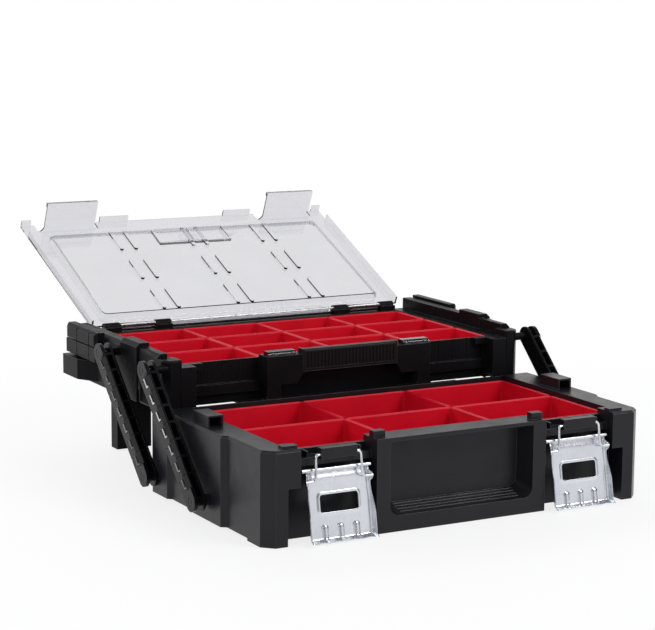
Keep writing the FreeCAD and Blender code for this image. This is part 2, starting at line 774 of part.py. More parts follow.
def make_grip():
    """Fluted grip bar between the brackets."""
    y0 = tray_front
    bar = box(-grip_half, grip_half, y0, y0 + grip_depth, grip_bottom, grip_bottom + grip_height)
    bar = bar.makeFillet(grip_corner, edges_along(bar, ACROSS, lambda p: True))
    ends = pair(grip_half, bracket_inner, y0, y0 + grip_depth, grip_bottom - 0.4,
                grip_bottom + grip_height + 0.4)
    pitch = 2 * (grip_half - grip_end) / grip_flutes
    half = pitch * grip_flute_share
    radius = (half * half + grip_flute_depth ** 2) / (2 * grip_flute_depth)
    flutes = []
    for n in range(grip_flutes):
        x = -grip_half + grip_end + (n + 0.5) * pitch
        flutes.append(Part.makeCylinder(radius, grip_height - 2 * grip_flute_rim,
                                        Vector(x, y0 + grip_flute_depth - radius, grip_bottom + grip_flute_rim), UP))
    return bar.cut(flutes).fuse(ends)


def make_cap(side):
    """Clear quarter-round on a bracket's top."""
    block = box(cap_inner, cap_inner + cap_width, tray_front + 1, tray_front + 1 + cap_depth,
                bracket_top, bracket_top + cap_height)
    front_edge = edges_along(block, ACROSS, lambda p: p.z > bracket_top + 1 and p.y < tray_front + 2)
    block = block.makeFillet(cap_height - 0.6, front_edge)
    if side < 0:
        block = block.mirror(Vector(0, 0, 0), ACROSS)
    return block


# Lid, modelled closed and then swung open about its hinge
def lid_box(x0, x1, s0, s1, h0, h1):
    """A box in the lid's own terms: s from the hinge line forwards, h down from its top face."""
    z = hinge_z + lid_rise
    return box(x0, x1, hinge_line_y - s1, hinge_line_y - s0, z - h1, z - h0)


def lid_pair(x0, x1, s0, s1, h0, h1):
    return both_sides(lid_box(x0, x1, s0, s1, h0, h1))


def make_lid():
    z = hinge_z + lid_rise
    back = hinge_line_y - lid_back_edge
    front = hinge_line_y - lid_length
    plan = [(-lid_back_half, back), (lid_back_half, back), (lid_front_half, front),
            (-lid_front_half, front)]
    outer = prism_z(plan, z - lid_skirt, z)
    lean = (lid_front_half - lid_back_half) / (back - front)
    t = lid_thickness
    inner = [(-lid_back_half + t, back + 1), (lid_back_half - t, back + 1),
             (lid_front_half - t, front + t), (-lid_front_half + t, front + t)]
    shell = outer.cut(prism_z(inner, z - lid_skirt - 1, z - t))

    # The front skirt stands only beside the handle and at the corners
    gaps = [lid_box(-block_inner, block_inner, lid_length - t, lid_length + 1, t, lid_skirt + 1)]
    gaps += lid_pair(block_outer, corner_skirt_inner, lid_length - t, lid_length + 1, t, lid_skirt + 1)
    # The side skirts stop short of the tray's corner posts
    gaps += lid_pair(lid_front_half - t - 1, lid_front_half + 1, hinge_line_y - tray_cavity_front,
                     lid_length - t, t, lid_skirt + 1)
    # Behind the front edge the top is cut back where the latches reach the tabs
    gaps += lid_pair(tab_inner - tab_flare, tab_outer + tab_flare,
                     lid_length - tab_recess, lid_length + 1, -1, lid_skirt + 1)
    shell = shell.cut(gaps)

    # Sunk middle panel with sloping sides
    def plan_wire(half, y0, y1, corner, height):
        bend = corner * (1 - math.sqrt(0.5))
        wires = []
        for x, y, dx, dy in ((-half, y0, 1, 1), (half, y0, -1, 1), (half, y1, -1, -1), (-half, y1, 1, -1)):
            ends = [Vector(x, y + dy * corner, height), Vector(x + dx * corner, y, height)]
            if dx * dy < 0:
                ends.reverse()
            wires.append((ends, Vector(x + dx * bend, y + dy * bend, height)))
        edges = []
        for n, (ends, middle) in enumerate(wires):
            edges.append(Part.Arc(ends[0], middle, ends[1]).toShape())
            edges.append(Part.LineSegment(ends[1], wires[(n + 1) % 4][0][0]).toShape())
        return Part.Wire(edges)

    def well(half, s0, s1, corner, top, low, slope):
        wires = [plan_wire(half, hinge_line_y - s1, hinge_line_y - s0, corner, low),
                 plan_wire(half + slope, hinge_line_y - s1 - slope, hinge_line_y - s0 + slope,
                           corner + slope, top)]
        return Part.makeLoft(wires, True, True)

    floor = z - lid_panel_drop
    shell = shell.fuse(well(lid_panel_half + t, lid_panel_back - t, lid_panel_front + t,
                            lid_panel_corner + t, z - t / 2, floor - t, lid_panel_slope))
    shell = shell.cut(well(lid_panel_half, lid_panel_back, lid_panel_front, lid_panel_corner,
                           z + 0.01, floor, lid_panel_slope))

    # Shallow raised field in the middle of the panel's front end, with a rib down its middle
    raised = box(-lid_pocket_half, lid_pocket_half, hinge_line_y - lid_panel_front - t,
                 hinge_line_y - lid_pocket_back, floor - t, z - lid_pocket_drop)
    hollow = box(-lid_pocket_half + t, lid_pocket_half - t, hinge_line_y - lid_panel_front,
                 hinge_line_y - lid_pocket_back - t, floor - t - 1, z - lid_pocket_drop - t)
    shell = shell.fuse(raised).cut(hollow)
    shell = shell.fuse(box(-lid_pocket_rib / 2, lid_pocket_rib / 2, hinge_line_y - lid_panel_front - t / 2,
                           hinge_line_y - lid_pocket_back + t / 2, floor - t, z - lid_pocket_drop - t / 2))

    # Tabs that the latches pull on, with a lip along the end
    tabs = []
    tab_s = lid_length - tab_recess
    tabs += lid_pair(tab_inner, tab_outer, tab_s - t, tab_s, 0, tab_drop)
    for edge, way in ((tab_inner, -1), (tab_outer, 1)):
        root = lid_box(*sorted((edge - way, edge + way * tab_flare)), tab_s - t, tab_s, 0, t + tab_flare)
        bite = Part.makeCylinder(tab_flare, 3 * t, Vector(edge + way * tab_flare, hinge_line_y - tab_s - t,
                                                          z - t - tab_flare), DEEP)
        tabs += both_sides(root.cut(bite))
    tabs += lid_pair(tab_inner, tab_outer, tab_s - t, tab_s + tab_lip, tab_drop - tab_lip_height, tab_drop)
    shell = shell.fuse(tabs)

    # Hold-down ribs in pairs that end just above the bins, centred on each row of bins
    ribs = []
    bin_top = tray_underside + tray_floor + tray_bin_height
    for column in range(1, tray_columns):
        x = (column - tray_columns / 2) * tray_bin_pitch_x
        for row in range(tray_rows):
            y = tray_cavity_front + bin_clearance + (row + 0.5) * tray_bin_pitch_y
            for step in (-0.5, 0.5):
                middle = x + step * lid_rib_spread
                blade = box(middle - lid_rib_width / 2, middle + lid_rib_width / 2,
                            y - lid_rib_length / 2, y + lid_rib_length / 2,
                            bin_top + lid_rib_gap, floor - t / 2)
                ribs.append(blade.makeFillet(lid_rib_width * 0.45, edges_along(blade, UP, lambda p: True)))
    shell = shell.fuse(ribs)

    # Rolled edge between the hinges
    shell = shell.fuse(rod_x(back + lid_roll_radius / 2, z - lid_roll_radius, lid_roll_radius,
                             -knuckle_inner + 2 * hinge_side_gap, knuckle_inner - 2 * hinge_side_gap))

    # Barrels on the hinge pins
    barrels = []
    x0 = knuckle_inner + knuckle_width + hinge_side_gap
    x1 = knuckle_outer - knuckle_width - hinge_side_gap
    for barrel in both_sides(rod_x(hinge_line_y, hinge_z, barrel_radius, x0, x1)):
        barrels.append(barrel)
    arm = box(x0, x1, back - 1, hinge_line_y, z - lid_thickness - 1, z - 1)
    barrels += both_sides(arm)
    shell = shell.fuse(barrels)
    shell = shell.cut(both_sides(rod_x(hinge_line_y, hinge_z, hinge_pin_radius + hinge_fit,
                                       x0 - 1, x1 + 1)))
    shell.rotate(Vector(0, hinge_line_y, hinge_z), ACROSS, -(180 - lid_open_slope))
    return shell


def make_hinge_pins():
    return Part.makeCompound(both_sides(rod_x(hinge_line_y, hinge_z, hinge_pin_radius,
                                              knuckle_inner, knuckle_outer)))


# Draw latches
def tube_path(points, radius, bend):
    """A round wire along straight runs joined by tangent arcs."""
    edges = []
    start = points[0]
    for n in range(1, len(points) - 1):
        before = (points[n - 1] - points[n]).normalize()
        after = (points[n + 1] - points[n]).normalize()
        half = math.acos(max(-1, min(1, before.dot(after)))) / 2
        cut = bend / math.tan(half)
        first = points[n] + before * cut
        last = points[n] + after * cut
        middle = (before + after).normalize()
        centre = points[n] + middle * (bend / math.sin(half))
        edges.append(Part.LineSegment(start, first).toShape())
        edges.append(Part.Arc(first, centre - middle * bend, last).toShape())
        start = last
    edges.append(Part.LineSegment(start, points[-1]).toShape())
    path = Part.Wire(edges)
    tangent = (points[1] - points[0]).normalize()
    profile = Part.Wire(Part.makeCircle(radius, points[0], tangent))
    return path.makePipeShell([profile], True, False)


def make_bail(side):
    """Wire legs that turn in to hook into the rail and turn out to carry the plate."""
    x = side * latch_place
    foot_y = bail_y - bail_lean
    foot_z = bail_z - bail_drop
    legs = []
    for way in (-1, 1):
        points = [Vector(x + way * (rail_half - bail_hook + 1), bail_y, bail_z),
                  Vector(x + way * (bail_half + 2 * bail_wire), bail_y, bail_z),
                  Vector(x + way * (bail_foot_half - 2), foot_y, foot_z),
                  Vector(x + way * bail_end, foot_y, foot_z)]
        legs.append(tube_path(points, bail_wire, 2.6))
    return Part.makeCompound(legs)


def make_plate(side):
    """Pressed steel plate, modelled upright round its pivot and then tilted and placed."""
    s = plate_sheet
    top = plate_top_rise
    bottom = top - plate_length - plate_top_rise
    face_y = plate_offset
    reach = face_y - plate_flange

    def scoop(inset, radius):
        """The plate's section in plan, with its sides leaning out towards the front."""
        back = face_y + s - inset
        half = plate_half + s - inset
        front = -bail_wire - plate_ear - 1 - 2 * inset
        body = prism_z([(-half, back), (half, back), (half + plate_flange_flare, front),
                        (-half - plate_flange_flare, front)], bottom - inset, top + inset)
        return body.makeFillet(radius, edges_along(body, UP, lambda p: p.y > back - 1))

    sheet = scoop(0, plate_bend + s).cut(scoop(s, plate_bend))
    # In side view the flanges have an ear round the pivot, a waist below it and full depth lower down
    ear = bail_wire + plate_ear
    sheet = sheet.cut(prism_x([(face_y - 0.5, top + 1), (face_y - 0.5, ear + 3), (ear / 2, ear), (-ear, ear),
                               (-ear, -ear), (plate_waist, -2 * ear), (plate_waist, -2 * ear - 6),
                               (reach, -2 * ear - plate_waist_run), (reach, bottom - 1),
                               (reach - 9, bottom - 1), (reach - 9, top + 1)], -2 * plate_half, 2 * plate_half))
    window = box(-plate_window_half, plate_window_half, face_y - 2, face_y + s + 1,
                 -plate_window_top - plate_window_height, -plate_window_top)
    window = window.makeFillet(plate_window_corner, edges_along(window, DEEP, lambda p: True))
    frame = box(-plate_window_half - plate_frame, plate_window_half + plate_frame,
                face_y - plate_frame_rise, face_y + s / 2,
                -plate_window_top - plate_window_height - plate_frame, -plate_window_top + plate_frame)
    frame = frame.makeFillet(plate_window_corner + plate_frame / 2, edges_along(frame, DEEP, lambda p: True))
    roll = rod_x(face_y + s - plate_roll_radius, top, plate_roll_radius, -plate_roll_half, plate_roll_half)
    lip = prism_x([(face_y, bottom), (face_y + s, bottom), (face_y + s - plate_lip, bottom - 3),
                   (face_y - plate_lip, bottom - 3)], -plate_half - plate_flange_flare / 2,
                  plate_half + plate_flange_flare / 2)
    ribs = []
    for n in range(plate_ribs):
        x = (n - (plate_ribs - 1) / 2) * plate_rib_spacing
        y = face_y + plate_rib_width / 2 - plate_rib_height
        low = Vector(x, y, bottom)
        ribs.append(Part.makeCylinder(plate_rib_width / 2, plate_rib_length, low, UP))
        ribs.append(Part.makeSphere(plate_rib_width / 2, low + UP * plate_rib_length))
    behind = box(-plate_half, plate_half, face_y + s, face_y + s + 9, bottom - 9, top - plate_roll_radius)
    plate = sheet.fuse([frame, lip] + ribs).cut([window, behind]).fuse(roll)
    holes = rod_x(0, 0, bail_wire + bail_fit, -plate_half - 8, plate_half + 8)
    plate = plate.cut(holes.cut(box(-plate_half + 2, plate_half - 2, -5, 5, -5, 5)))
    plate.rotate(Vector(0, 0, 0), ACROSS, -plate_tilt)
    plate.translate(Vector(side * latch_place, bail_y - bail_lean, bail_z - bail_drop))
    return plate


save("lower_box", make_lower_box())
make_bins("lower_bin", lower_columns, lower_rows, lower_bin_pitch_x, lower_bin_pitch_y,
          cavity_front, box_floor, lower_bin_height)
save("upper_tray", make_tray())
make_bins("tray_bin", tray_columns, tray_rows, tray_bin_pitch_x, tray_bin_pitch_y,
          tray_cavity_front, tray_underside + tray_floor, tray_bin_height)
for side, word in ((-1, "left"), (1, "right")):
    save("front_arm_" + word, make_arm(side, front_pivot_y))
    save("rear_arm_" + word, make_arm(side, rear_pivot_y))
    save("latch_bail_" + word, make_bail(side))
    save("latch_plate_" + word, make_plate(side))
    save("bracket_cap_" + word, make_cap(side))
save("lower_arm_pins", make_pins((front_pivot_y, rear_pivot_y), arm_pivot_height,
                                 box_rear_half - pin_grip - middle_step))
save("upper_arm_pins", make_pins((front_pivot_y + open_shift.y, rear_pivot_y + open_shift.y),
                                 tray_pivot_z, tray_side_half - pin_grip))
save("handle_grip", make_grip())
save("lid", make_lid())
save("lid_hinge_pins", make_hinge_pins())
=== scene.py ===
"""Cantilever organizer box, open: looks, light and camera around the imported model.

Blender works in metres. Sizes that a comment gives in millimetres are multiplied by mm.
"""
import json
import math
import bpy
from mathutils import Matrix, Vector


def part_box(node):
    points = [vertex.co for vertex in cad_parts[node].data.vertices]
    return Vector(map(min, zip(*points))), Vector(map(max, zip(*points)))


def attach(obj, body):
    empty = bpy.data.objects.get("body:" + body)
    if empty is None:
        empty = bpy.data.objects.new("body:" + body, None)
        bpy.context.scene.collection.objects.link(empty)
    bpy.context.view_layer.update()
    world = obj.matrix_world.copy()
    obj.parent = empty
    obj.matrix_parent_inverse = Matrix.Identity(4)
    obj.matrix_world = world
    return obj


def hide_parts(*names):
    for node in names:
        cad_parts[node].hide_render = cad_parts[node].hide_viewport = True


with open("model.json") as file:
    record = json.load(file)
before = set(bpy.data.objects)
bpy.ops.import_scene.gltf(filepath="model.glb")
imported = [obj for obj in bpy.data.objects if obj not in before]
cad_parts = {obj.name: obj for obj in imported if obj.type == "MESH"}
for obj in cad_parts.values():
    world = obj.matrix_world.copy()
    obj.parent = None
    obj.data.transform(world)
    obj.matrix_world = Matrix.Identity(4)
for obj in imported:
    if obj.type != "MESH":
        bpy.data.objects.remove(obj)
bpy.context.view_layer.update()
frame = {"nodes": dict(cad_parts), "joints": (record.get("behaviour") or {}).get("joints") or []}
nodes = frame["nodes"]
joint_places = {joint["name"]: joint["pos_m"] for joint in frame["joints"] if joint["type"] == "hinge"}
mm = 0.001
sides = ((-1, "left"), (1, "right"))

# Camera at the photograph's angle
camera_place = Vector((-1.2551, -2.0732, 0.6177))
camera_yaw = 0.5070
camera_pitch = 0.1623
camera_roll = 0.0076
camera_lens = 113.18


def make_camera():
    """The camera, turned right by its yaw, down by its pitch, and then rolled."""
    level = math.cos(camera_pitch)
    forward = Vector((math.sin(camera_yaw) * level, math.cos(camera_yaw) * level, -math.sin(camera_pitch)))
    flat_right = Vector((math.cos(camera_yaw), -math.sin(camera_yaw), 0))
    flat_up = flat_right.cross(forward)
    right = flat_right * math.cos(camera_roll) + flat_up * math.sin(camera_roll)
    up = flat_up * math.cos(camera_roll) - flat_right * math.sin(camera_roll)
    data = bpy.data.cameras.new("camera")
    data.lens = camera_lens
    data.sensor_width = 36
    data.sensor_fit = "HORIZONTAL"
    data.clip_end = 20
    camera = bpy.data.objects.new("camera", data)
    camera.matrix_world = Matrix((
        (right.x, up.x, -forward.x, camera_place.x),
        (right.y, up.y, -forward.y, camera_place.y),
        (right.z, up.z, -forward.z, camera_place.z),
        (0, 0, 0, 1)))
    bpy.context.scene.collection.objects.link(camera)
    bpy.context.scene.camera = camera


# Materials. Noise runs from 0 to 1 but keeps near its middle, so it is read over a shorter span.
noise_span = (0.3, 0.7)
marks_span = (0.25, 0.75)


def new_material(name):
    """A node material with its shader, and the object's own coordinates as texture place."""
    material = bpy.data.materials.new(name)
    material.use_nodes = True
    tree = material.node_tree
    shader = tree.nodes["Principled BSDF"]
    place = tree.nodes.new("ShaderNodeTexCoord").outputs["Object"]
    return material, tree, shader, place


def noise(tree, place, scale, detail, rough=0.5, stretch=None):
    """Noise with about scale waves a metre; a stretch under 1 draws it out along that axis."""
    if stretch:
        mapping = tree.nodes.new("ShaderNodeMapping")
        mapping.inputs["Scale"].default_value = stretch
        tree.links.new(place, mapping.inputs["Vector"])
        place = mapping.outputs["Vector"]
    node = tree.nodes.new("ShaderNodeTexNoise")
    node.inputs["Scale"].default_value = scale
    node.inputs["Detail"].default_value = detail
    node.inputs["Roughness"].default_value = rough
    tree.links.new(place, node.inputs["Vector"])
    return node.outputs["Fac"]


def ramp(tree, value, first, last, span=noise_span):
    """The colour first where value starts the span and last where it ends it, and a mix between."""
    node = tree.nodes.new("ShaderNodeValToRGB")
    for stop, position, colour in zip(node.color_ramp.elements, span, (first, last)):
        stop.position = position
        stop.color = (*colour, 1)
    tree.links.new(value, node.inputs["Fac"])
    return node.outputs["Color"]


def spread(tree, value, low, high, lowest, highest):
    """Lowest where value is low and highest where it is high, and in proportion between."""
    node = tree.nodes.new("ShaderNodeMapRange")
    node.inputs["From Min"].default_value = low
    node.inputs["From Max"].default_value = high
    node.inputs["To Min"].default_value = lowest
    node.inputs["To Max"].default_value = highest
    tree.links.new(value, node.inputs["Value"])
    return node.outputs["Result"]


def rounded_normal(tree, radius, samples):
    """The surface's direction as if its edges were rounded to this radius."""
    node = tree.nodes.new("ShaderNodeBevel")
    node.samples = samples
    node.inputs["Radius"].default_value = radius
    return node.outputs["Normal"]


def bump(tree, shader, height, strength, distance, edge=0.0):
    """Fine relief, and where edge is given, edges rounded to that radius by the shader."""
    node = tree.nodes.new("ShaderNodeBump")
    node.inputs["Strength"].default_value = strength
    node.inputs["Distance"].default_value = distance
    tree.links.new(height, node.inputs["Height"])
    if edge:
        tree.links.new(rounded_normal(tree, edge, samples=4), node.inputs["Normal"])
    tree.links.new(node.outputs["Normal"], shader.inputs["Normal"])


def edge_share(tree, radius):
    """1 near the edges of the shape and 0 on its flats."""
    dot = tree.nodes.new("ShaderNodeVectorMath")
    dot.operation = "DOT_PRODUCT"
    tree.links.new(rounded_normal(tree, radius, samples=6), dot.inputs[0])
    tree.links.new(tree.nodes.new("ShaderNodeNewGeometry").outputs["Normal"], dot.inputs[1])
    return spread(tree, dot.outputs["Value"], low=0.995, high=0.85, lowest=0.0, highest=1.0)


def moulded(name, colours, rough, grain, depth, gloss, edge, edge_gloss):
    """Moulded plastic: slight mottling, fine grain, uneven roughness, and edges with their own gloss."""
    material, tree, shader, place = new_material(name)
    mottling = noise(tree, place, scale=26, detail=4)
    tree.links.new(ramp(tree, mottling, *colours), shader.inputs["Base Color"])
    handling = noise(tree, place, scale=60, detail=5, rough=0.65)
    tree.links.new(spread(tree, handling, *noise_span, *rough), shader.inputs["Roughness"])
    bump(tree, shader, noise(tree, place, grain, detail=2), depth, distance=0.0004, edge=edge)
    level = spread(tree, edge_share(tree, edge), 0, 1, gloss, edge_gloss)
    tree.links.new(level, shader.inputs["Specular IOR Level"])
    return material


def zinc(name, colours, rough):
    """Bright zinc-plated sheet and wire with faint rolling marks."""
    material, tree, shader, place = new_material(name)
    marks = noise(tree, place, scale=220, detail=4, rough=0.6, stretch=(1.0, 1.0, 0.06))
    cloud = noise(tree, place, scale=38, detail=3)
    tree.links.new(ramp(tree, cloud, *colours), shader.inputs["Base Color"])
    tree.links.new(spread(tree, marks, *marks_span, *rough), shader.inputs["Roughness"])
    bump(tree, shader, cloud, strength=0.02, distance=0.0006)
    shader.inputs["Metallic"].default_value = 1.0
    return material


def clear(name, colour, rough):
    """Clear moulded plastic: light passes and bends, with a faint tint and slight waviness."""
    material, tree, shader, place = new_material(name)
    wave = noise(tree, place, scale=14, detail=2)
    deeper = tuple(part * 0.97 for part in colour)
    tree.links.new(ramp(tree, wave, colour, deeper), shader.inputs["Base Color"])
    haze = noise(tree, place, scale=45, detail=3)
    tree.links.new(spread(tree, haze, *noise_span, rough * 0.7, rough * 1.3), shader.inputs["Roughness"])
    bump(tree, shader, wave, strength=0.05, distance=0.002)
    shader.inputs["Transmission Weight"].default_value = 1.0
    shader.inputs["IOR"].default_value = 1.45
    return material


black = moulded("black_plastic", ((0.007, 0.007, 0.0095), (0.010, 0.010, 0.013)), rough=(0.27, 0.38),
                grain=1500, depth=0.2, gloss=0.26, edge=0.0007, edge_gloss=1.0)
tray_black = moulded("tray_plastic", ((0.005, 0.005, 0.006), (0.007, 0.007, 0.008)), rough=(0.26, 0.36),
                     grain=1500, depth=0.25, gloss=0.05, edge=0.0008, edge_gloss=0.7)
arm_black = moulded("arm_plastic", ((0.004, 0.004, 0.005), (0.006, 0.006, 0.007)), rough=(0.16, 0.24),
                    grain=1500, depth=0.1, gloss=0.14, edge=0.0006, edge_gloss=0.3)
strip_black = moulded("strip_plastic", ((0.006, 0.006, 0.007), (0.009, 0.009, 0.01)), rough=(0.1, 0.16),
                      grain=300, depth=0.0, gloss=1.0, edge=0.0003, edge_gloss=1.0)
grip_black = moulded("grip_plastic", ((0.005, 0.005, 0.006), (0.007, 0.007, 0.008)), rough=(0.3, 0.42),
                     grain=1200, depth=0.2, gloss=0.15, edge=0.0006, edge_gloss=0.5)
red = moulded("red_plastic", ((0.56, 0.003, 0.016), (0.64, 0.005, 0.020)), rough=(0.3, 0.42),
              grain=900, depth=0.12, gloss=0.3, edge=0.0006, edge_gloss=0.6)
steel = zinc("zinc_steel", ((0.68, 0.70, 0.74), (0.74, 0.76, 0.80)), rough=(0.2, 0.3))
lid_clear = clear("clear_plastic", (0.72, 0.72, 0.75), rough=0.03)
cap_clear = clear("clear_cap", (0.90, 0.90, 0.92), rough=0.06)

# What a CAD node's name holds, and its material; the first that fits is taken, and black otherwise
looks = (("bin_row", red), ("latch_", steel), ("_pins", arm_black), ("lid", lid_clear),
         ("bracket_cap", cap_clear), ("handle_grip", grip_black), ("_arm_", arm_black),
         ("upper_tray", tray_black), ("", black))


def dress(name):
    """Gives a CAD node its material."""
    mesh = nodes[name].data
    mesh.materials.clear()
    mesh.materials.append(next(material for words, material in looks if words in name))


for name in nodes:
    dress(name)


# Shapes
def loft(rings, closed=False):
    """Points and faces of a body through rings of points, with its ends capped, or closed on itself."""
    size = len(rings[0])
    points = [point for ring in rings for point in ring]
    faces = []
    if not closed:
        faces = [tuple(reversed(range(size))), tuple(range(len(points) - size, len(points)))]
    for start in range(0, len(points) if closed else len(points) - size, size):
        other = (start + size) % len(points)
        for n in range(size):
            after = (n + 1) % size
            faces.append((start + n, start + after, other + after, other + n))
    return points, faces


def show(mesh, material):
    """An object of its own for this mesh, under the mesh's name and in this material."""
    mesh.materials.clear()
    mesh.materials.append(material)
    piece = bpy.data.objects.new(mesh.name, mesh)
    bpy.context.scene.collection.objects.link(piece)
    return piece


def new_piece(name, points, faces, material):
    """An object of its own from points and faces."""
    mesh = bpy.data.meshes.new(name)
    mesh.from_pydata(points, [], faces)
    return show(mesh, material)


def shade_smooth(piece, sharp):
    """Smooth shading, apart from edges that turn by more than this many degrees."""
    piece.data.polygons.foreach_set("use_smooth", [True] * len(piece.data.polygons))
    piece.data.set_sharp_from_angle(angle=math.radians(sharp))


def round_edges(piece, width, segments):
    """Adds rounding of this width, in metres, and returns it for further settings."""
    edges = piece.modifiers.new("edges", "BEVEL")
    edges.width = width
    edges.segments = segments
    return edges


def apply_all(piece):
    """Replaces the mesh by what its modifiers make of it."""
    bpy.context.view_layer.update()
    graph = bpy.context.evaluated_depsgraph_get()
    mesh = bpy.data.meshes.new_from_object(piece.evaluated_get(graph))
    old = piece.data
    piece.modifiers.clear()
    piece.data = mesh
    bpy.data.meshes.remove(old)


def smooth(value, low, high):
    """0 up to low and 1 from high on, with a smooth rise between."""
    share = max(0.0, min(1.0, (value - low) / (high - low)))
    return share * share * (3 - 2 * share)


# Latches: pressed plates, in millimetres round the plate's pivot, with the front towards -Y
plate_tilt = math.radians(10)
plate_half = 39.0
plate_face = 6.0
plate_bottom = -64.5
sheet = 1.0
grid_step = 1.0
bend = 3.6
bend_steps = 6
flange_steps = 5
shortest_flange = 0.6

# The sheet's rows above the flat face, as (y, z), and where the flat face starts
neck_rows = ((8.0, 11.0), (7.8, 9.0), (7.4, 7.0), (6.9, 5.0), (6.4, 3.2))
face_top = 1.0

# The bottom edge rolls forwards and waves a little
lip_forward = 5.4
lip_drop = 4.6
lip_curve = 1.3
lip_front = -6.5
lip_steps = 5
lip_wave = 0.35
lip_wave_rate = 0.33

# The window with its raised rim, and the ribs below it
window_half = 24.2
window_low = -35.8
window_high = -15.8
window_corner = 3.0
cutter_depth = 5.0
rim_rise = 0.7
rim_middle = 1.2
rim_flat = 0.6
rim_end = 2.2
rib_places = (-20.0, 0.0, 20.0)
rib_top = -53.0
rib_radius = 3.6
rib_rise = 2.1
relief_half = 34.0
relief_fade = 2.0

# The flanges: ears at the pivot, and a growth downwards that runs between two depths below the pivot
ear_height = 0.3
ear_flat = 3.0
ear_end = 7.0
flange_reach = 4.4
ear_reach = 4.4
foot_reach = 4.8
foot_reach_depths = (12, 40)
flange_lean = 0.12
ear_lean = 0.42
foot_lean = 0.2
foot_lean_depths = (6, 52)
foot_widening = 0.9
foot_widening_depths = (4, 26)

# The rolled top edge, with open ends
roll_half = 43.6
roll_place = (6.3, 12.2)
roll_radius = 2.3
roll_bore = 1.2
ring_sides = 20


def window_distance(x, z):
    """Distance outside the rounded window, and below 0 inside it."""
    over_x = abs(x) - (window_half - window_corner)
    over_z = abs(z - (window_low + window_high) / 2) - ((window_high - window_low) / 2 - window_corner)
    return math.hypot(max(over_x, 0), max(over_z, 0)) + min(max(over_x, over_z), 0) - window_corner


def relief(x, z):
    """How far the face is pressed forwards."""
    rise = rim_rise * (1 - smooth(abs(window_distance(x, z) - rim_middle), rim_flat, rim_end))
    for place in rib_places:
        away = math.hypot(x - place, max(0.0, z - rib_top))
        if away < rib_radius:
            rise = max(rise, rib_rise * math.sqrt(1 - (away / rib_radius) ** 2))
    return rise * smooth(relief_half - abs(x), 0, relief_fade)


def flange(z):
    """At this height: the flanges' reach before the face, their lean, and how much wider the face is."""
    ear = 1 - smooth(abs(z - ear_height), ear_flat, ear_end)
    reach = flange_reach + ear_reach * ear + foot_reach * smooth(-z, *foot_reach_depths)
    lean = ear_lean * ear + flange_lean + foot_lean * smooth(-z, *foot_lean_depths)
    return reach, lean, foot_widening * smooth(-z, *foot_widening_depths)


def plate_row(y, z):
    """One row of the sheet at this height, from the edge of one flange to the other."""
    reach, lean, widening = flange(z)
    flat = plate_half + widening - bend
    straight = max(shortest_flange, (reach - bend) / math.cos(lean))
    half_row = []
    count = int(plate_half / grid_step)
    for n in range(count):
        x = flat * n / count
        half_row.append((x, y - relief(x, z)))
    for n in range(bend_steps + 1):
        angle = (math.pi / 2 - lean) * n / bend_steps
        half_row.append((flat + bend * math.sin(angle), y - bend * (1 - math.cos(angle))))
    bend_x, bend_y = half_row[-1]
    for n in range(1, flange_steps + 1):
        along = straight * n / flange_steps
        half_row.append((bend_x + math.sin(lean) * along, bend_y - math.cos(lean) * along))
    return [(-x, y, z) for x, y in reversed(half_row[1:])] + [(x, y, z) for x, y in half_row]


def plate_rows():
    """The rows of the whole sheet, from its top to the lip."""
    rows = [plate_row(y, z) for y, z in neck_rows]
    count = math.ceil((face_top - plate_bottom) / grid_step)
    rows += [plate_row(plate_face, face_top - n * grid_step) for n in range(count)]
    for n in range(1, lip_steps + 1):
        share = n / lip_steps
        row = plate_row(plate_face - lip_forward * share ** lip_curve, plate_bottom - lip_drop * share)
        wave = lip_wave * share
        rows.append([(x, max(y, lip_front), z - wave * math.sin(x * lip_wave_rate)) for x, y, z in row])
    return rows


def window_cutter():
    """A block with rounded corners that cuts the window."""
    half_height = (window_high - window_low) / 2
    outline = []
    for side_x, side_z, start in ((1, 1, 0), (-1, 1, 90), (-1, -1, 180), (1, -1, 270)):
        for turn in range(0, 91, 15):
            angle = math.radians(start + turn)
            outline.append((side_x * (window_half - window_corner) + window_corner * math.cos(angle),
                            side_z * (half_height - window_corner) + window_corner * math.sin(angle)))
    rings = [[(x, y, z) for x, z in outline] for y in (cutter_depth, -cutter_depth)]
    cutter = new_piece("window_cutter", *loft(rings), steel)
    cutter.location = (0, plate_face, (window_low + window_high) / 2)
    return cutter


def rings_along(points, radius):
    """Rings of points round a line, each square to it."""
    centres = [Vector(point) for point in points]
    rings = []
    for n, centre in enumerate(centres):
        ahead = centres[min(n + 1, len(centres) - 1)] - centres[max(n - 1, 0)]
        right = ahead.cross(Vector((0, 1, 0))).normalized() * radius
        over = right.cross(ahead).normalized() * radius
        angles = [2 * math.pi * turn / ring_sides for turn in range(ring_sides)]
        rings.append([centre + right * math.cos(angle) + over * math.sin(angle) for angle in angles])
    return rings


def put_on_pivot(piece, word, tilt):
    """Tilts a latch piece round its plate's pivot, scales it to metres and puts it in its place."""
    shift = Matrix.Translation(joint_places["latch_swing_" + word])
    piece.data.transform(shift @ Matrix.Rotation(-tilt, 4, "X") @ Matrix.Scale(mm, 4))
    piece.data.update()


